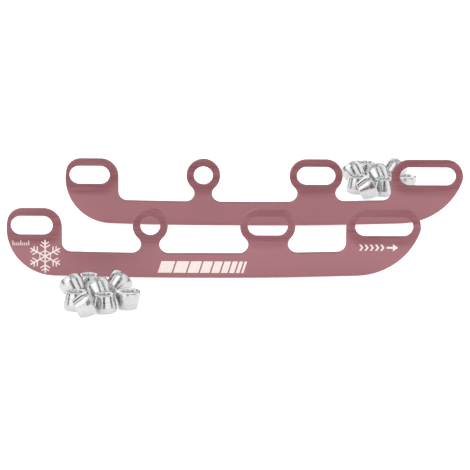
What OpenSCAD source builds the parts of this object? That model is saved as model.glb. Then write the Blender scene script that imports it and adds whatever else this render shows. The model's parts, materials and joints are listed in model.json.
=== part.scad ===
// Pair of ice runner blades for inline-skate frames, with their sixteen conical spacers.
//
// Each blade replaces the wheels of one skate. The skate's axles pass through a round hole and three
// slots, and two spacers on each axle centre the blade in the frame. Here the blades stand on their
// running edges, one behind the other, and each has its eight spacers in a loose pile beside it.
//
// Frame: X runs from heel to toe, Y away from the viewer, Z up. The origin is the centre of the round
// axle hole of blade_a, halfway through the plate.

/* [Plate] */
// Thickness of the plate
plate_t = 3; // [2.5:0.1:5]
// Height of the running bar under the openings
bar_h = 17; // [12:0.5:22]
// Depth of the running edge below the axle line, at its lowest
edge_drop = 36.5; // [30:0.5:46]
// Radius of the rocker, the long curve of the running edge
rocker_r = 3500; // [2000:100:9000]
// Lowest place of the running edge, ahead of the round hole
rocker_x = 24; // [0:1:60]
// Radius of the curve at the heel
heel_r = 33; // [27:0.5:40]
// Radius of the upper corner of the heel
heel_corner_r = 10.5; // [8:0.5:12.5]
// Radius of the curve at the toe
toe_r = 46.5; // [34:0.5:56]

/* [Axle openings] */
// Width of the slots and diameter of the round hole
slot_w = 13.5; // [11:0.1:16.5]
// Wall above and beside the openings
eye_wall = 5.2; // [4:0.1:7]
// Wall between the first slot and the back of the heel
heel_wall = 2.9; // [2:0.1:5]
// Extra width of the plate beside the heel and toe openings
shoulder_extra = 1; // [0:0.1:3]
// Radius where the openings' walls run into the bar
neck_r = 6.2; // [4:0.1:7.5]
// Wheelbase at the shortest setting, where the four axles are evenly spaced
wheelbase_min = 219; // [180:1:270]
// How far the rear axle can be set back from its shortest setting
rear_travel = 15; // [8:0.5:20]
// How far the third axle can be set forward
third_travel = 13.7; // [8:0.1:20]
// How far the front axle can be set forward
front_travel = 26; // [15:0.5:35]

/* [Spacers] */
// Length of a spacer, half the width of a wheel hub
spacer_l = 12; // [10:0.1:15]
// How much wider than the openings a spacer is at its wide end
spacer_over = 3.3; // [2:0.1:6]
// Diameter of the axle bore
bore_d = 8.2; // [6.2:0.1:9.9]
// Length of the straight band at the wide end
band_l = 4; // [2:0.1:5]
// Bevel around the wide end
wide_bevel = 0.7; // [0.2:0.1:1.2]
// Bevel around the narrow end
narrow_bevel = 0.4; // [0.2:0.1:0.6]
// Bevel at both mouths of the bore
bore_bevel = 0.4; // [0.2:0.1:0.6]
// Space left between two narrow ends when their tapers clamp the plate
face_gap = 0.2; // [0.1:0.1:0.6]

/* [Layout] */
// Distance from the first blade to the second
blade_gap_y = 131; // [100:1:170]
// Distance that the second blade stands further towards its toe
blade_shift_x = 35; // [0:1:60]
// Distance from the first blade to the pile in front of it
pile_before = 80; // [65:1:120]
// Place of that pile along the first blade, behind the round hole
pile_before_x = 29; // [0:1:80]
// Distance from the second blade to the pile behind it
pile_behind = 84; // [60:1:120]
// Place of that pile along the second blade, ahead of the round hole
pile_behind_x = 131; // [60:1:160]

/* [Hidden] */
$fn = 96;

plate_colour = [0.66, 0.46, 0.48];
spacer_colour = [0.78, 0.78, 0.79];

// Largest angle between two points of a curve, and largest distance between two points of the edge
arc_step = 5;
edge_step = 8;

slot_r = slot_w / 2;
eye_r = slot_r + eye_wall;
shoulder_r = eye_r + shoulder_extra;
floor_z = -edge_drop;

// Centre of the rocker, which is also the centre of the bar's upper edge
rocker_c = [rocker_x, rocker_r - edge_drop];
bar_top_r = rocker_r - bar_h;

// Places of the axles along the plate, from heel to toe, measured from the round hole
axle_step = wheelbase_min / 3;
rear_slot = [-axle_step - rear_travel, -axle_step];
third_slot = [axle_step, axle_step + third_travel];
front_slot = [2 * axle_step, 2 * axle_step + front_travel];

// Points of an arc about c, anticlockwise from angle a to angle b in degrees
function ccw(c, r, a, b) = arc(c, r, a, ((b - a) % 360 + 360) % 360);

// The same, clockwise
function cw(c, r, a, b) = arc(c, r, a, -((a - b) % 360 + 360) % 360);

// Points of an arc about c that starts at angle a and turns by the angle sweep
function arc(c, r, a, sweep) =
    let (n = max(1, ceil(abs(sweep) / arc_step)))
    [for (i = [0:n]) c + r * [cos(a + sweep * i / n), sin(a + sweep * i / n)]];

// Direction from p to q, in degrees
function heading(p, q) = atan2(q[1] - p[1], q[0] - p[0]);

// Place at distance r1 from p and r2 from q, on the left (side 1) or right (side -1) of the way from p to q
function meet(p, r1, q, r2, side) =
    let (
        d = norm(q - p),
        along = (r1 * r1 - r2 * r2 + d * d) / (2 * d),
        across = sqrt(r1 * r1 - along * along),
        u = (q - p) / d
    )
    p + along * u + side * across * [-u[1], u[0]];

// Place at x on the lower side of the circle of radius r about the rocker's centre
function on_curve(x, r) = [x, rocker_c[1] - sqrt(r * r - pow(x - rocker_c[0], 2))];

// Points between a and b of an edge that follows the rocker at radius r
function long_edge(r, a, b) =
    let (n = ceil(abs(b[0] - a[0]) / edge_step))
    [for (i = [1:n - 1]) on_curve(a[0] + (b[0] - a[0]) * i / n, r)];

// Centre of the fillet between the bar and a round eye end at c, on its toe side (1) or heel side (-1)
function neck_c(c, side) = meet(rocker_c, bar_top_r - neck_r, c, eye_r + neck_r, side);

// Heel: its curve runs into the running edge below and into the upper corner above
heel_back = rear_slot[0] - slot_r - heel_wall;
heel_c = on_curve(heel_back + heel_r, rocker_r - heel_r);
heel_corner_z = eye_r - heel_corner_r;
heel_corner_dx = sqrt(pow(heel_r - heel_corner_r, 2) - pow(heel_corner_z - heel_c[1], 2));
heel_corner_c = [heel_c[0] - heel_corner_dx, heel_corner_z];

// Toe: its curve runs into the running edge below and into the front eye above
toe_eye_c = [front_slot[1], 0];
toe_c = meet(rocker_c, rocker_r - toe_r, toe_eye_c, toe_r - eye_r, -1);

// Shoulders: the upright sides of the heel and the toe, beside their slots
heel_shoulder_c = [rear_slot[1], eye_r - shoulder_r];
toe_shoulder_c = [front_slot[0], eye_r - shoulder_r];
heel_neck_c = on_curve(heel_shoulder_c[0] + shoulder_r + neck_r, bar_top_r - neck_r);
toe_neck_c = on_curve(toe_shoulder_c[0] - shoulder_r - neck_r, bar_top_r - neck_r);

// Outline of the eye around an opening that runs from a to b, with both necks, from toe side to heel side
function eye_outline(a, b) =
    let (
        front_end = [b, 0],
        back_end = [a, 0],
        ahead = neck_c(front_end, 1),
        behind = neck_c(back_end, -1)
    )
    concat(
        cw(ahead, neck_r, heading(rocker_c, ahead), heading(ahead, front_end)),
        ccw(front_end, eye_r, heading(front_end, ahead), 90),
        ccw(back_end, eye_r, 90, heading(back_end, behind)),
        cw(behind, neck_r, heading(behind, back_end), heading(rocker_c, behind))
    );

// Outline of the blade, from the heel along the running edge to the toe and back over the eyes
blade_outline = concat(
    ccw(heel_c, heel_r, heading(heel_c, heel_corner_c), heading(rocker_c, heel_c)),
    long_edge(rocker_r, heel_c, toe_c),
    ccw(toe_c, toe_r, heading(rocker_c, toe_c), heading(toe_c, toe_eye_c)),
    ccw(toe_eye_c, eye_r, heading(toe_c, toe_eye_c), 90),
    ccw(toe_shoulder_c, shoulder_r, 90, 180),
    cw(toe_neck_c, neck_r, 0, heading(rocker_c, toe_neck_c)),
    long_edge(bar_top_r, toe_neck_c, neck_c([third_slot[1], 0], 1)),
    eye_outline(third_slot[0], third_slot[1]),
    long_edge(bar_top_r, neck_c([third_slot[0], 0], -1), neck_c([0, 0], 1)),
    eye_outline(0, 0),
    long_edge(bar_top_r, neck_c([0, 0], -1), heel_neck_c),
    cw(heel_neck_c, neck_r, heading(rocker_c, heel_neck_c), 180),
    ccw(heel_shoulder_c, shoulder_r, 0, 90),
    ccw(heel_corner_c, heel_corner_r, 90, heading(heel_c, heel_corner_c))
);

// Spacer: the taper touches the slot's edges while the narrow end is still short of the plate's middle
wide_r = slot_r + spacer_over / 2;
bore_r = bore_d / 2;
taper_l = spacer_l - band_l;
seat_l = (plate_t - face_gap) / 2;
taper = (wide_r - slot_r) / (taper_l - seat_l);
narrow_r = slot_r - seat_l * taper;

// Half section of the spacer, [radius, height above the wide end]
spacer_outside = [
    [wide_r - wide_bevel, 0],
    [wide_r, wide_bevel],
    [wide_r, band_l],
    [narrow_r + narrow_bevel * taper, spacer_l - narrow_bevel],
    [narrow_r - narrow_bevel, spacer_l]
];
spacer_inside = [
    [bore_r + bore_bevel, spacer_l],
    [bore_r, spacer_l - bore_bevel],
    [bore_r, bore_bevel],
    [bore_r + bore_bevel, 0]
];

// How the eight spacers of a pile lie: [x, y, tilt, heading] of each one's middle. The places are in
// steps of the pile, which grow with the spacers. Tilt is the angle of the narrow end from straight up,
// so 0 stands on the wide end, and heading is where the narrow end points.
POSES = [
    [-1.28, 1.58, 130, -50],
    [-0.71, 2.68, 0, 0],
    [-0.24, 1.13, 124, -65],
    [0.5, 2, 124, -135],
    [0.92, 0.45, 180, 0],
    [-1.13, 0.36, 0, 0],
    [-0.77, -0.83, 115, -172],
    [0, 0, 0, 0]
];
step_for_length = 1.4;
pile_step = max(2 * wide_r, step_for_length * spacer_l);
pile_a = [-pile_before_x, -pile_before];
pile_b = [blade_shift_x + pile_behind_x, blade_gap_y + pile_behind];

// Closed opening for axles between a and b
module slot(a, b) {
    translate([0, plate_t, 0])
        rotate([90, 0, 0])
            linear_extrude(2 * plate_t)
                polygon(concat(ccw([b, 0], slot_r, -90, 90), ccw([a, 0], slot_r, 90, 270)));
}

module blade() {
    color(plate_colour)
        difference() {
            translate([0, plate_t / 2, 0])
                rotate([90, 0, 0])
                    linear_extrude(plate_t)
                        polygon(blade_outline);
            rotate([90, 0, 0])
                cylinder(h = 2 * plate_t, r = slot_r, center = true);
            slot(rear_slot[0], rear_slot[1]);
            slot(third_slot[0], third_slot[1]);
            slot(front_slot[0], front_slot[1]);
        }
}

module blade_a() {
    blade();
}

module blade_b() {
    translate([blade_shift_x, blade_gap_y, 0])
        blade();
}

module spacer() {
    color(spacer_colour)
        rotate_extrude()
            polygon(concat(spacer_outside, spacer_inside));
}

// Height of the middle of a spacer whose lowest edge touches the floor
function rest_height(tilt) =
    -min([for (p = spacer_outside) (p[1] - spacer_l / 2) * cos(tilt) - p[0] * abs(sin(tilt))]);

// Spacer number i of the pile whose middle is at place
module piled_spacer(place, i) {
    pose = POSES[i - 1];
    x = place[0] + pile_step * pose[0];
    y = place[1] + pile_step * pose[1];
    translate([x, y, floor_z + rest_height(pose[2])])
        rotate([0, 0, pose[3]])
            rotate([0, pose[2], 0])
                translate([0, 0, -spacer_l / 2])
                    spacer();
}

blade_a();
blade_b();
piled_spacer(pile_a, 1);  // spacer_a1
piled_spacer(pile_a, 2);  // spacer_a2
piled_spacer(pile_a, 3);  // spacer_a3
piled_spacer(pile_a, 4);  // spacer_a4
piled_spacer(pile_a, 5);  // spacer_a5
piled_spacer(pile_a, 6);  // spacer_a6
piled_spacer(pile_a, 7);  // spacer_a7
piled_spacer(pile_a, 8);  // spacer_a8
piled_spacer(pile_b, 1);  // spacer_b1
piled_spacer(pile_b, 2);  // spacer_b2
piled_spacer(pile_b, 3);  // spacer_b3
piled_spacer(pile_b, 4);  // spacer_b4
piled_spacer(pile_b, 5);  // spacer_b5
piled_spacer(pile_b, 6);  // spacer_b6
piled_spacer(pile_b, 7);  // spacer_b7
piled_spacer(pile_b, 8);  // spacer_b8
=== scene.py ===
import json
import math

import bmesh
import bpy
from mathutils import Matrix, Quaternion, Vector


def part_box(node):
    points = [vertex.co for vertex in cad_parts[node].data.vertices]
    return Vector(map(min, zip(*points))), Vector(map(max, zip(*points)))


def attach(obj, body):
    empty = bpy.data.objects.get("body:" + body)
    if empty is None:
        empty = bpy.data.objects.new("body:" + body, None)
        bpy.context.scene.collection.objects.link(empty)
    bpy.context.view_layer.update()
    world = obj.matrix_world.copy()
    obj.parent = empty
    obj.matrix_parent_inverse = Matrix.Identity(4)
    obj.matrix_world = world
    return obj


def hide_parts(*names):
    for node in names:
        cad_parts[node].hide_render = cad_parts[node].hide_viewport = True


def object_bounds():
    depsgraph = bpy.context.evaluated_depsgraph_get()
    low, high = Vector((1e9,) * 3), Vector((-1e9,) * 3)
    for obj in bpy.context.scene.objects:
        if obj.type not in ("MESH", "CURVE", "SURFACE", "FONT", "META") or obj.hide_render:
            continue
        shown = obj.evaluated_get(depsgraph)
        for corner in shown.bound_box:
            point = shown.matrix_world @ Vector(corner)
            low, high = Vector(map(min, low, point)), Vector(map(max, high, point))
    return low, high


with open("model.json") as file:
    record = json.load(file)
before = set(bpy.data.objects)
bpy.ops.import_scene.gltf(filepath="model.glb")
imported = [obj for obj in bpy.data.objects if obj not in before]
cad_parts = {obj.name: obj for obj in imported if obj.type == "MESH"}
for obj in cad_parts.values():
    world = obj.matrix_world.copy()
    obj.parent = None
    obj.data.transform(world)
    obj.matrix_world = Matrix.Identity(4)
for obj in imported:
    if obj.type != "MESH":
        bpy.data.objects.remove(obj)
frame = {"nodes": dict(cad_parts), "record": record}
cad_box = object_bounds()

# The object's lengths are in millimetres, and MM turns them into metres. The room's are in metres.
MM = 0.001
MOUNTS = {mount["name"]: mount for mount in frame["record"]["mounts"]}
BLADES = ("blade_a", "blade_b")
SPACERS = sorted(name for name in frame["nodes"] if name.startswith("spacer"))

# The plate, as the frame gives it
AXLE_HOLE_R = MOUNTS["blade_a_axle_hole"]["dims"]["r_mm"]
PLATE_FACE_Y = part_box("blade_a")[0].y / MM
EDGE_BREAK = 0.45
EYE_RIM_W = 5.2

# How far off, in millimetres, a point may be and still count as being at a place
NEAR = 0.05

# A spacer: length and width from one that stands upright, and the shape between them
UPRIGHT_LOW, UPRIGHT_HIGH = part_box("spacer_a8")
SPACER_L = (UPRIGHT_HIGH.z - UPRIGHT_LOW.z) / MM
SPACER_R = (UPRIGHT_HIGH.x - UPRIGHT_LOW.x) / MM / 2
BORE_R = MOUNTS["spacer_a8_bore"]["dims"]["r_mm"]
NARROW_R = 6.4
BAND_L = 4
WIDE_BEVEL = 0.7
NARROW_BEVEL = 0.4
BORE_BEVEL = 0.4
CORNER_SOFTENING = 0.12
TURNED_SIDES = 128

# Degrees that each spacer is turned on its own axis from the one before, so that no two look alike
TURN_BETWEEN_SPACERS = 37

# The print on the first blade, in millimetres from its round hole
PRINT_H = 0.03
PRINT_SUNK = 0.01
SNOWFLAKE_PLACE = (-71.5, -21.6)
SNOWFLAKE_R = 11.6
SNOWFLAKE_LINE = 0.95
STRIPES_PLACE = (5, -28.7)
ARROW_PLACE = (142, -14.4)
SCALE_PLACE = (-93.4, -12.2)

# Colours of the finishes
ROSE = (0.305, 0.132, 0.147, 1)
# The next colour is painted shade round the axle openings.
ROSE_PAINTED_SHADE = (0.18, 0.052, 0.063, 1)
ROSE_LIGHT = (0.345, 0.157, 0.178, 1)
ROSE_DUST = (0.27, 0.136, 0.157, 1)
# The next colour is a painted highlight on the plate's corners.
ROSE_PAINTED_HIGHLIGHT = (0.37, 0.135, 0.17, 1)
ROSE_CUT = (0.17, 0.058, 0.070, 1)
ALUMINIUM = (0.57, 0.575, 0.58, 1)
ALUMINIUM_DULL = (0.47, 0.47, 0.475, 1)
# The next colour is painted light inside the spacers' bores.
ALUMINIUM_BORE_PAINTED_LIGHT = (0.78, 0.78, 0.79, 1)
INK = (0.77, 0.69, 0.64, 1)
INK_THIN = (0.71, 0.60, 0.56, 1)

# How a spacer's bore differs from its outside
REAMED_EXTRA_ROUGHNESS = 0.03
BORE_UV_SHIFT = -1

# The studio: how many panels would fill the ring, and how strongly each part of it glows
PANELS_ROUND_THE_ROOM = 4.5
PANEL_LIGHT = 1.55
GAP_LIGHT = 0.03
CEILING_LIGHT = 0.6
TABLE_GLOW = 0.55


# ---- Working by hand: selecting and editing ----

def pick_only(*pieces):
    """Only these pieces are selected, and the last of them is the active one."""
    bpy.ops.object.select_all(action="DESELECT")
    for piece in pieces:
        piece.select_set(True)
        bpy.context.view_layer.objects.active = piece


def begin_edit(piece):
    pick_only(piece)
    bpy.ops.object.mode_set(mode="EDIT")


def end_edit():
    bpy.ops.object.mode_set(mode="OBJECT")


def choose(piece, kind, test):
    """In edit mode, the vertices, edges or faces that pass the test are the only ones selected."""
    bpy.ops.mesh.select_mode(type={"verts": "VERT", "edges": "EDGE", "faces": "FACE"}[kind])
    bpy.ops.mesh.select_all(action="DESELECT")
    shape = bmesh.from_edit_mesh(piece.data)
    for part in getattr(shape, kind):
        if test(part):
            part.select_set(True)
    shape.select_flush_mode()
    bmesh.update_edit_mesh(piece.data)


def apply_all(piece):
    """Applies the modifiers, from first to last."""
    pick_only(piece)
    for name in [modifier.name for modifier in piece.modifiers]:
        bpy.ops.object.modifier_apply(modifier=name)


def settle(piece):
    """The piece's place, turn and size go into its mesh."""
    pick_only(piece)
    bpy.ops.object.transform_apply(location=True, rotation=True, scale=True)


def another(piece, name, move):
    """A copy of the piece with a mesh of its own, moved or turned by a matrix."""
    copy = bpy.data.objects.new(name, piece.data.copy())
    bpy.context.scene.collection.objects.link(copy)
    copy.data.transform(move)
    return copy


def join(*pieces):
    """Makes one piece of several. The last of them is the one that is kept."""
    pick_only(*pieces)
    bpy.ops.object.join()
    return bpy.context.object


def dress(piece, material):
    piece.data.materials.clear()
    piece.data.materials.append(material)


# ---- Finishes ----

def new_finish(name):
    """A material with its Principled shader, and the nodes and links to build on it."""
    material = bpy.data.materials.new(name)
    material.use_nodes = True
    nodes = material.node_tree.nodes
    return material, nodes, material.node_tree.links, nodes["Principled BSDF"]


def calculate(nodes, links, operation, *values):
    """One Math node. Each value is a number or another node's output."""
    node = nodes.new("ShaderNodeMath")
    node.operation = operation
    for place, value in enumerate(values):
        if isinstance(value, (int, float)):
            node.inputs[place].default_value = value
        else:
            links.new(value, node.inputs[place])
    return node.outputs[0]


def split_axes(nodes, links, vector):
    """The X, Y and Z of a vector, as the outputs of one node."""
    node = nodes.new("ShaderNodeSeparateXYZ")
    links.new(vector, node.inputs["Vector"])
    return node.outputs


def stretched_noise(nodes, links, places, scale, detail, roughness=0.5):
    """Noise on the given coordinates, each stretched by its own scale."""
    mapping = nodes.new("ShaderNodeMapping")
    mapping.inputs["Scale"].default_value = scale
    noise = nodes.new("ShaderNodeTexNoise")
    noise.inputs["Scale"].default_value = 1
    noise.inputs["Detail"].default_value = detail
    noise.inputs["Roughness"].default_value = roughness
    links.new(places, mapping.inputs["Vector"])
    links.new(mapping.outputs["Vector"], noise.inputs["Vector"])
    return noise.outputs["Fac"]


def average(nodes, links, first, second):
    return calculate(nodes, links, "MULTIPLY", calculate(nodes, links, "ADD", first, second), 0.5)


def blend_colours(nodes, links, amount, first, second):
    """A mix of two colours, by an amount from 0 to 1."""
    mix = nodes.new("ShaderNodeMix")
    mix.data_type = "RGBA"
    for socket, value in (("A", first), ("B", second)):
        target = [s for s in mix.inputs if s.name == socket and s.type == "RGBA"][0]
        if isinstance(value, tuple):
            target.default_value = value
        else:
            links.new(value, target)
    links.new(amount, mix.inputs["Factor"])
    return [s for s in mix.outputs if s.type == "RGBA"][0]


def spread(nodes, links, value, low, high, to_low, to_high, smooth=False):
    """Moves a value from the range low to high into another range, held at both ends."""
    node = nodes.new("ShaderNodeMapRange")
    node.interpolation_type = "SMOOTHSTEP" if smooth else "LINEAR"
    node.inputs["From Min"].default_value = low
    node.inputs["From Max"].default_value = high
    node.inputs["To Min"].default_value = to_low
    node.inputs["To Max"].default_value = to_high
    links.new(value, node.inputs["Value"])
    return node.outputs["Result"]


def roughen(nodes, links, shader, height, strength, depth):
    """A bump from a height, with its depth in millimetres."""
    bump = nodes.new("ShaderNodeBump")
    bump.inputs["Strength"].default_value = strength
    bump.inputs["Distance"].default_value = depth * MM
    links.new(height, bump.inputs["Height"])
    links.new(bump.outputs["Normal"], shader.inputs["Normal"])


def axle_openings(blade):
    """The round hole and the slots of a blade: [first, last] place of the axle along X, in metres."""
    openings = []
    for name, mount in MOUNTS.items():
        if not name.startswith(blade):
            continue
        half = mount["dims"].get("slot_length_mm", 2 * AXLE_HOLE_R) / 2 - AXLE_HOLE_R
        middle = mount["pos_m"][0]
        openings.append((middle - half * MM, middle + half * MM))
    return openings


def distance_to_axles(nodes, links, axes, blade):
    """How far a point of the plate is from the nearest place where an axle can be, in metres."""
    nearest = None
    for first, last in axle_openings(blade):
        along = calculate(nodes, links, "SUBTRACT", axes["X"], (first + last) / 2)
        off_middle = calculate(nodes, links, "ABSOLUTE", along)
        past_end = calculate(nodes, links, "SUBTRACT", off_middle, (last - first) / 2)
        beyond = calculate(nodes, links, "MAXIMUM", past_end, 0.0)
        squares = calculate(nodes, links, "ADD", calculate(nodes, links, "POWER", beyond, 2.0),
                            calculate(nodes, links, "POWER", axes["Z"], 2.0))
        distance = calculate(nodes, links, "SQRT", squares)
        nearest = distance if nearest is None else calculate(nodes, links, "MINIMUM", nearest, distance)
    return nearest


def coated_steel(blade):
    """Rose coating over brushed steel: painted shade round the openings, dull on cut sides, a painted
    highlight on corners, which are also polished.
    """
    material, nodes, links, shader = new_finish("rose_coating_" + blade)
    places = nodes.new("ShaderNodeTexCoord").outputs["Object"]
    axes = split_axes(nodes, links, places)

    # Painted shade: the colour is darkest inside the eyes' rims and fades out just past them.
    rim = AXLE_HOLE_R + EYE_RIM_W
    painted_shade_until = (rim - 2.5) * MM
    painted_shade_gone_at = (rim + 5) * MM
    depth = spread(nodes, links, distance_to_axles(nodes, links, axes, blade),
                   painted_shade_until, painted_shade_gone_at, 1.0, 0.0, smooth=True)
    base = blend_colours(nodes, links, depth, ROSE, ROSE_PAINTED_SHADE)

    # Brushing runs along the blade: fine lines, and longer ones that group them.
    grain = stretched_noise(nodes, links, places, (45, 45, 2600), 3, 0.6)
    long_grain = stretched_noise(nodes, links, places, (9, 9, 420), 2)
    cloud = stretched_noise(nodes, links, places, (30, 30, 45), 2)
    lines = average(nodes, links, grain, long_grain)
    line_amount = spread(nodes, links, lines, 0.35, 0.65, 0.0, 0.7)
    brushed = blend_colours(nodes, links, line_amount, base, ROSE_LIGHT)
    dust_amount = spread(nodes, links, cloud, 0.4, 0.75, 0, 0.25)
    dusted = blend_colours(nodes, links, dust_amount, brushed, ROSE_DUST)

    # Flatness is 1 on the flat of the plate, 0 on its cut sides, and between them round a corner.
    cut_until = 0.12
    corner_polished_from = 0.4
    corner_polished_until = 0.75
    flat_from = 0.97
    facing = split_axes(nodes, links, nodes.new("ShaderNodeNewGeometry").outputs["Normal"])
    flatness = calculate(nodes, links, "ABSOLUTE", facing["Y"])
    edge = spread(nodes, links, flatness, corner_polished_until, flat_from, 1.0, 0.0, smooth=True)
    cut = spread(nodes, links, flatness, cut_until, corner_polished_from, 1.0, 0.0, smooth=True)
    # The corners are given a lighter colour, a painted highlight.
    with_painted_highlight = blend_colours(nodes, links, edge, dusted, ROSE_PAINTED_HIGHLIGHT)
    links.new(blend_colours(nodes, links, cut, with_painted_highlight, ROSE_CUT), shader.inputs["Base Color"])

    brushed_roughness = spread(nodes, links, lines, 0.3, 0.7, 0.40, 0.56)
    corner = calculate(nodes, links, "SUBTRACT", edge, cut)
    corner_polish = calculate(nodes, links, "MULTIPLY", corner, 0.2)
    links.new(calculate(nodes, links, "SUBTRACT", brushed_roughness, corner_polish),
              shader.inputs["Roughness"])
    roughen(nodes, links, shader, lines, 0.5, 0.02)
    shader.inputs["Metallic"].default_value = 0.65
    return material


def turned_aluminium():
    """Bright turned metal: fine tool marks run round the axis, so reflections draw out along it."""
    material, nodes, links, shader = new_finish("turned_aluminium")
    around = nodes.new("ShaderNodeUVMap")
    around.uv_map = "turning"
    turning = around.outputs["UV"]
    grooves = stretched_noise(nodes, links, turning, (3, 9000, 1), 2)
    bands = stretched_noise(nodes, links, turning, (1.5, 900, 1), 1)
    mark_amount = spread(nodes, links, average(nodes, links, grooves, bands), 0.35, 0.65, 0, 1)
    turned = blend_colours(nodes, links, mark_amount, ALUMINIUM_DULL, ALUMINIUM)

    # The bore is reamed, which leaves it a little rougher; its brighter colour is painted light inside the
    # bore.
    in_bore = calculate(nodes, links, "LESS_THAN", split_axes(nodes, links, turning)["Y"], BORE_UV_SHIFT / 2)
    links.new(blend_colours(nodes, links, in_bore, turned, ALUMINIUM_BORE_PAINTED_LIGHT), shader.inputs["Base Color"])
    turned_roughness = spread(nodes, links, bands, 0.3, 0.7, 0.20, 0.27)
    links.new(calculate(nodes, links, "MULTIPLY_ADD", in_bore, REAMED_EXTRA_ROUGHNESS, turned_roughness),
              shader.inputs["Roughness"])
    roughen(nodes, links, shader, grooves, 0.25, 0.01)

    tangent = nodes.new("ShaderNodeTangent")
    tangent.direction_type = "UV_MAP"
    tangent.uv_map = "turning"
    links.new(tangent.outputs["Tangent"], shader.inputs["Tangent"])
    shader.inputs["Metallic"].default_value = 1.0
    shader.inputs["Anisotropic"].default_value = 0.8
    shader.inputs["Anisotropic Rotation"].default_value = 0.25
    return material


def pad_print():
    """Cream white ink, a little uneven where it was pressed on."""
    material, nodes, links, shader = new_finish("cream_ink")
    places = nodes.new("ShaderNodeTexCoord").outputs["Object"]
    grain = stretched_noise(nodes, links, places, (900, 900, 900), 3)
    thin_amount = spread(nodes, links, grain, 0.35, 0.7, 0, 1)
    links.new(blend_colours(nodes, links, thin_amount, INK, INK_THIN), shader.inputs["Base Color"])
    links.new(spread(nodes, links, grain, 0.3, 0.7, 0.5, 0.65), shader.inputs["Roughness"])
    return material


# ---- Blades ----

def make_blade(name):
    """The plate from the frame, its faces cleaned and every edge broken as by a deburring wheel."""
    piece = another(frame["nodes"][name], name + "_plate", Matrix.Identity(4))
    begin_edit(piece)
    bpy.ops.mesh.select_all(action="SELECT")
    bpy.ops.mesh.remove_doubles(threshold=0.002 * MM)
    bpy.ops.mesh.dissolve_limited(angle_limit=math.radians(0.5))
    end_edit()
    bevel = piece.modifiers.new("edge_break", "BEVEL")
    bevel.width = EDGE_BREAK * MM
    bevel.segments = 3
    bevel.limit_method = "ANGLE"
    bevel.angle_limit = math.radians(40)
    bevel.use_clamp_overlap = False
    flat = piece.modifiers.new("flat_faces", "WEIGHTED_NORMAL")
    flat.keep_sharp = True
    pick_only(piece)
    bpy.ops.object.shade_smooth_by_angle(angle=math.radians(35))
    apply_all(piece)
    dress(piece, coated_steel(name))
    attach(piece, name)
    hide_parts(name)


# ---- Spacers ----

def ring_at(radius, height):
    """A test for edges that run round the axis at this radius and height, in millimetres."""
    def test(edge):
        return all(
            abs(math.hypot(v.co.x, v.co.y) / MM - radius) < NEAR and abs(v.co.z / MM - height) < NEAR
            for v in edge.verts
        )
    return test


def end_face(height):
    """A test for the flat disc or ring at this height, in millimetres."""
    def test(face):
        return abs(face.normal.z) > 0.99 and abs(face.calc_center_median().z / MM - height) < NEAR
    return test


def make_spacer_shape():
    """One spacer on its own axis: turned band and taper, bored through, all its corners bevelled."""
    low = -SPACER_L / 2
    high = SPACER_L / 2
    bpy.ops.object.select_all(action="DESELECT")
    bpy.ops.mesh.primitive_cylinder_add(
        vertices=TURNED_SIDES, radius=SPACER_R * MM, depth=BAND_L * MM,
        location=(0, 0, (low + BAND_L / 2) * MM))
    piece = bpy.context.object
    settle(piece)
    begin_edit(piece)

    # The taper grows out of the top of the band.
    choose(piece, "faces", end_face(low + BAND_L))
    bpy.ops.mesh.extrude_region_move(
        TRANSFORM_OT_translate={"value": (0, 0, (SPACER_L - BAND_L) * MM)})
    narrowing = NARROW_R / SPACER_R
    bpy.ops.transform.resize(value=(narrowing, narrowing, 1), center_override=(0, 0, high * MM))

    # Both ends are set in to the bore and opened, and the bore joins the two openings.
    for height, radius in ((high, NARROW_R), (low, SPACER_R)):
        choose(piece, "faces", end_face(height))
        bpy.ops.mesh.inset(thickness=(radius - BORE_R) * MM)
        choose(piece, "faces", lambda face: end_face(height)(face) and len(face.verts) > 4)
        bpy.ops.mesh.delete(type="FACE")
    choose(piece, "edges", lambda edge: edge.is_boundary)
    bpy.ops.mesh.bridge_edge_loops()

    for radius, height, width in (
        (SPACER_R, low, WIDE_BEVEL), (NARROW_R, high, NARROW_BEVEL),
        (BORE_R, low, BORE_BEVEL), (BORE_R, high, BORE_BEVEL),
    ):
        choose(piece, "edges", ring_at(radius, height))
        bpy.ops.mesh.bevel(offset=width * MM, segments=1, affect="EDGES")
    end_edit()
    soften = piece.modifiers.new("soft_corners", "BEVEL")
    soften.width = CORNER_SOFTENING * MM
    soften.segments = 2
    soften.limit_method = "ANGLE"
    soften.angle_limit = math.radians(12)
    apply_all(piece)
    begin_edit(piece)
    bpy.ops.mesh.select_all(action="SELECT")
    bpy.ops.mesh.normals_make_consistent(inside=False)
    end_edit()
    pick_only(piece)
    bpy.ops.object.shade_smooth_by_angle(angle=math.radians(30))
    unwrap_round_axis(piece)
    return piece


def unwrap_round_axis(piece):
    """A UV map for the tool marks: U in turns round the axis, V along the surface in metres.

    The bore has its V shifted down, which tells it apart from the outside.
    """
    mesh = piece.data
    while mesh.uv_layers:
        mesh.uv_layers.remove(mesh.uv_layers[0])
    layer = mesh.uv_layers.new(name="turning")
    for face in mesh.polygons:
        middle = face.center
        middle_turn = math.atan2(middle.y, middle.x) / (2 * math.pi)
        in_bore = math.hypot(middle.x, middle.y) < (BORE_R + 0.1) * MM
        start = BORE_UV_SHIFT if in_bore else 0
        for corner in face.loop_indices:
            place = mesh.vertices[mesh.loops[corner].vertex_index].co
            turn = math.atan2(place.y, place.x) / (2 * math.pi)
            turn -= round(turn - middle_turn)
            layer.data[corner].uv = (turn, start + place.z + math.hypot(place.x, place.y))


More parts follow.
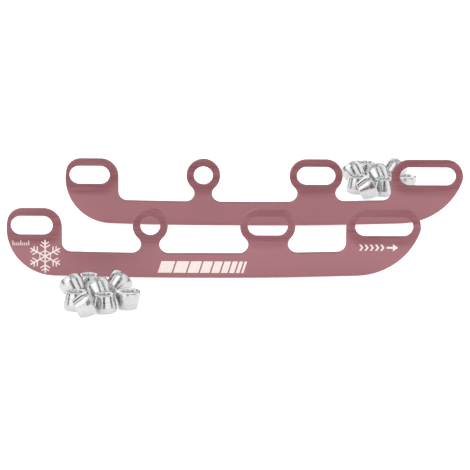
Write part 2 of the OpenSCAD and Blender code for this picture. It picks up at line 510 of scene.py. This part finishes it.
def narrow_end_direction(name):
    """A spacer's middle, and which way its narrow end points: away from the points furthest off its axis."""
    mount = MOUNTS[name + "_bore"]
    middle = Vector(mount["pos_m"])
    axis = Vector(mount["axis"]).normalized()
    offsets = [vertex.co - middle for vertex in frame["nodes"][name].data.vertices]
    widest = max(offsets, key=lambda offset: (offset - axis * offset.dot(axis)).length)
    return middle, -axis if widest.dot(axis) > 0 else axis


def place_spacer(shape, name, turn):
    """A copy of the spacer at the place the frame gives it, turned on its own axis."""
    middle, direction = narrow_end_direction(name)
    lean = Vector((0, 0, 1)).rotation_difference(direction).to_matrix().to_4x4()
    move = Matrix.Translation(middle) @ lean @ Matrix.Rotation(turn, 4, "Z")
    piece = another(shape, name + "_turned", move)
    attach(piece, name)
    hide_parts(name)


# ---- Print on the first blade ----

def flat_plane(width, height, middle):
    """A flat rectangle in the X-Z plane, facing the front, in millimetres."""
    bpy.ops.object.select_all(action="DESELECT")
    bpy.ops.mesh.primitive_plane_add(size=1, location=(middle[0] * MM, 0, middle[1] * MM),
                                     rotation=(math.radians(90), 0, 0))
    piece = bpy.context.object
    piece.scale = (width * MM, height * MM, 1)
    settle(piece)
    return piece


def ink(piece, name, place, material):
    """Gives a flat drawing its thickness and puts it on the face of the first blade."""
    piece.name = name
    sunk_y = PLATE_FACE_Y + PRINT_SUNK
    piece.data.transform(Matrix.Translation((place[0] * MM, sunk_y * MM, place[1] * MM)))
    begin_edit(piece)
    bpy.ops.mesh.select_all(action="SELECT")
    bpy.ops.mesh.remove_doubles(threshold=0.01 * MM)
    bpy.ops.mesh.dissolve_limited(angle_limit=math.radians(1))
    bpy.ops.mesh.extrude_region_move(
        TRANSFORM_OT_translate={"value": (0, -(PRINT_H + PRINT_SUNK) * MM, 0)})
    bpy.ops.mesh.select_all(action="SELECT")
    bpy.ops.mesh.normals_make_consistent(inside=False)
    end_edit()
    dress(piece, material)
    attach(piece, "blade_a")


def draw_snowflake_arm():
    """The arm that points up: a stem, its half of two ring sides, and two pairs of twigs."""
    line = SNOWFLAKE_LINE
    near = 0.01
    core = line * math.cos(math.radians(30))
    to_ring = 2.6
    ring_to_twigs = 1.6
    between_twigs = 1.5
    ring_overlap = 0.3
    twigs = ((2.9, 1.7), (2.0, 1.2))

    # The stem grows a line's width at each place where something branches off, with stretches between.
    stem = flat_plane(line, to_ring, (0, core + to_ring / 2))
    heights = [core + to_ring]
    tip = SNOWFLAKE_R - core - to_ring - ring_to_twigs - between_twigs - 3 * line
    begin_edit(stem)
    for step in (line, ring_to_twigs, line, between_twigs, line, tip):
        top = heights[-1]
        choose(stem, "edges", lambda edge: all(abs(v.co.z / MM - top) < near for v in edge.verts))
        bpy.ops.mesh.extrude_region_move(TRANSFORM_OT_translate={"value": (0, 0, step * MM)})
        heights.append(top + step)

    # The ring's sides run just past the line half-way to the next arm, so they join up.
    slope = math.tan(math.radians(30))
    ring_height = (heights[0] + heights[1]) / 2
    ring_reach = ring_height * slope / (1 + slope * slope) - line / 2 + ring_overlap
    branches = ((ring_reach, -ring_reach * slope), *twigs)
    for number, (reach, rise) in enumerate(branches):
        bottom, top = heights[2 * number], heights[2 * number + 1]
        for side in (-1, 1):
            choose(stem, "edges", lambda edge: all(
                abs(v.co.x / MM - side * line / 2) < near and bottom - near < v.co.z / MM < top + near
                for v in edge.verts))
            bpy.ops.mesh.extrude_region_move(
                TRANSFORM_OT_translate={"value": (side * reach * MM, 0, rise * MM)})
    end_edit()
    return stem


def draw_snowflake():
    """Six arms round a six-sided core."""
    arms = [draw_snowflake_arm()]
    for number in range(1, 6):
        turn = Matrix.Rotation(math.radians(60 * number), 4, "Y")
        arms.append(another(arms[0], arms[0].name, turn))
    bpy.ops.object.select_all(action="DESELECT")
    bpy.ops.mesh.primitive_circle_add(vertices=6, radius=SNOWFLAKE_LINE * MM, fill_type="NGON",
                                      rotation=(math.radians(90), 0, 0))
    core = bpy.context.object
    settle(core)
    core.data.transform(Matrix.Rotation(math.radians(30), 4, "Y"))
    return join(*arms, core)


def draw_stripes():
    """A band of slanted bars that get narrower towards the toe."""
    height = 8.2
    slant = 2.6
    gap = 1.1
    widths = (9.5, 8.5, 7.5, 6.5, 5.5, 4.5, 3.5, 2.5, 1.6)
    bars = []
    left = 0
    for width in widths:
        bar = flat_plane(width, height, (left + width / 2, 0))
        begin_edit(bar)
        choose(bar, "verts", lambda v: v.co.z > 0)
        bpy.ops.transform.translate(value=(slant * MM, 0, 0))
        end_edit()
        bars.append(bar)
        left += width + gap
    return join(*bars)


def draw_chevrons():
    """A row of chevrons that point to the toe."""
    line = 1.3
    point = 1.6
    pitch = 3.6
    chevron = flat_plane(line, 4.4, (line / 2, 0))
    begin_edit(chevron)
    bpy.ops.mesh.select_all(action="SELECT")
    bpy.ops.mesh.subdivide(number_cuts=1)
    choose(chevron, "verts", lambda v: abs(v.co.z) < 0.01 * MM)
    bpy.ops.transform.translate(value=(point * MM, 0, 0))
    end_edit()
    row = [chevron]
    for number in range(1, 5):
        row.append(another(chevron, chevron.name, Matrix.Translation((pitch * number * MM, 0, 0))))
    return join(*row)


def draw_direction_mark():
    """A row of chevrons and an arrow that point to the toe."""
    row = draw_chevrons()
    shaft_l = 4.2
    shaft_w = 1.3
    shaft_middle = 20.9
    head_l = 3.6
    head_spread = 4.0
    corner_start = 0.01
    shaft_end = shaft_middle + shaft_l / 2
    shaft = flat_plane(shaft_l, shaft_w, (shaft_middle, 0))
    begin_edit(shaft)
    choose(shaft, "edges", lambda edge: all(v.co.x > (shaft_end - NEAR) * MM for v in edge.verts))
    bpy.ops.mesh.extrude_region_move(TRANSFORM_OT_translate={"value": (corner_start * MM, 0, 0)})
    bpy.ops.transform.resize(value=(1, 1, head_spread), center_override=(shaft_end * MM, 0, 0))
    bpy.ops.mesh.extrude_region_move(TRANSFORM_OT_translate={"value": (head_l * MM, 0, 0)})
    bpy.ops.mesh.merge(type="CENTER")
    end_edit()
    return join(shaft, row)


def draw_setting_scale():
    """A row of short and long ticks, the scale of the axle settings."""
    tick_w = 0.55
    pitch = 1.35
    long_tick = 3.4
    short_tick = 2.0
    ticks = []
    for number in range(9):
        height = long_tick if number % 4 == 0 else short_tick
        ticks.append(flat_plane(tick_w, height, (number * pitch, (height - long_tick) / 2)))
    return join(*ticks)


# ---- Room ----

def make_floor():
    """A pale table that glows a little, so that nothing on it throws a dark shadow."""
    lowest = cad_box[0][2]
    bpy.ops.object.select_all(action="DESELECT")
    bpy.ops.mesh.primitive_plane_add(size=12, location=(0, 0, lowest))
    floor = bpy.context.object
    floor.name = "pale_floor"
    material, _, _, shader = new_finish("pale_floor")
    shader.inputs["Base Color"].default_value = (0.9, 0.9, 0.9, 1)
    shader.inputs["Roughness"].default_value = 0.9
    shader.inputs["Specular IOR Level"].default_value = 0.1
    shader.inputs["Emission Color"].default_value = (1, 1, 1, 1)
    shader.inputs["Emission Strength"].default_value = TABLE_GLOW
    dress(floor, material)


def light_room():
    """A ring of upright panels with dark gaps between them, one gap in front, under a soft ceiling."""
    world = bpy.data.worlds.new("studio")
    world.use_nodes = True
    nodes = world.node_tree.nodes
    links = world.node_tree.links
    background = nodes["Background"]
    background.inputs["Color"].default_value = (1, 1, 1, 1)
    direction = split_axes(nodes, links, nodes.new("ShaderNodeTexCoord").outputs["Generated"])
    turn = calculate(nodes, links, "ARCTAN2", direction["Y"], direction["X"])
    panel_number = calculate(nodes, links, "MULTIPLY_ADD", turn,
                             PANELS_ROUND_THE_ROOM / (2 * math.pi), PANELS_ROUND_THE_ROOM / 4)
    within = calculate(nodes, links, "FRACT", panel_number)
    off_middle = calculate(nodes, links, "ABSOLUTE", calculate(nodes, links, "SUBTRACT", within, 0.5))

    # A panel ends where its gap begins, and the walls end where the ceiling begins, both softly.
    panel_until = 0.31
    gap_from = 0.39
    wall_until = 0.93
    ceiling_from = 0.99
    panel = spread(nodes, links, off_middle, panel_until, gap_from, 1.0, 0.0, smooth=True)
    ceiling = spread(nodes, links, direction["Z"], wall_until, ceiling_from, 0.0, 1.0, smooth=True)
    walls = calculate(nodes, links, "MULTIPLY_ADD", panel, PANEL_LIGHT - GAP_LIGHT, GAP_LIGHT)
    mix = nodes.new("ShaderNodeMix")
    mix.inputs["B"].default_value = CEILING_LIGHT
    links.new(walls, mix.inputs["A"])
    links.new(ceiling, mix.inputs["Factor"])
    links.new(mix.outputs["Result"], background.inputs["Strength"])
    bpy.context.scene.world = world


def hang_softbox():
    """One square softbox, high on the left."""
    place = Vector((-0.8, -0.5, 0.8))
    aim = Vector((0.06, 0.08, 0))
    lamp = bpy.data.lights.new("left_high", "AREA")
    side = 1.1
    lamp.shape = "RECTANGLE"
    lamp.size = side
    lamp.size_y = side
    lamp.energy = 2.4
    softbox = bpy.data.objects.new("left_high", lamp)
    softbox.location = place
    softbox.rotation_euler = (aim - place).to_track_quat("-Z", "Y").to_euler()
    bpy.context.scene.collection.objects.link(softbox)


def aim_camera():
    """A long lens, square to the blades, a little above them and very slightly rolled."""
    elevation = math.radians(16)
    roll = math.radians(0.27)
    distance = 3.0
    target = Vector((57.6, 0, -6.3)) * MM
    data = bpy.data.cameras.new("camera")
    data.sensor_width = 36
    data.lens = 338
    data.clip_end = 50
    camera = bpy.data.objects.new("camera", data)
    back = Vector((0, -math.cos(elevation), math.sin(elevation)))
    camera.location = target + back * distance
    level = (-back).to_track_quat("-Z", "Y")
    camera.rotation_mode = "QUATERNION"
    camera.rotation_quaternion = level @ Quaternion((0, 0, 1), roll)
    bpy.context.scene.collection.objects.link(camera)
    bpy.context.scene.camera = camera


make_floor()
light_room()
hang_softbox()
aim_camera()
bpy.context.scene.view_settings.view_transform = "Standard"

for blade_name in BLADES:
    make_blade(blade_name)

spacer_shape = make_spacer_shape()
dress(spacer_shape, turned_aluminium())
for number, spacer_name in enumerate(SPACERS):
    place_spacer(spacer_shape, spacer_name, math.radians(TURN_BETWEEN_SPACERS * number))
bpy.data.objects.remove(spacer_shape)

cream_ink = pad_print()
ink(draw_snowflake(), "print_snowflake", SNOWFLAKE_PLACE, cream_ink)
ink(draw_stripes(), "print_stripes", STRIPES_PLACE, cream_ink)
ink(draw_direction_mark(), "print_direction_mark", ARROW_PLACE, cream_ink)
ink(draw_setting_scale(), "print_setting_scale", SCALE_PLACE, cream_ink)
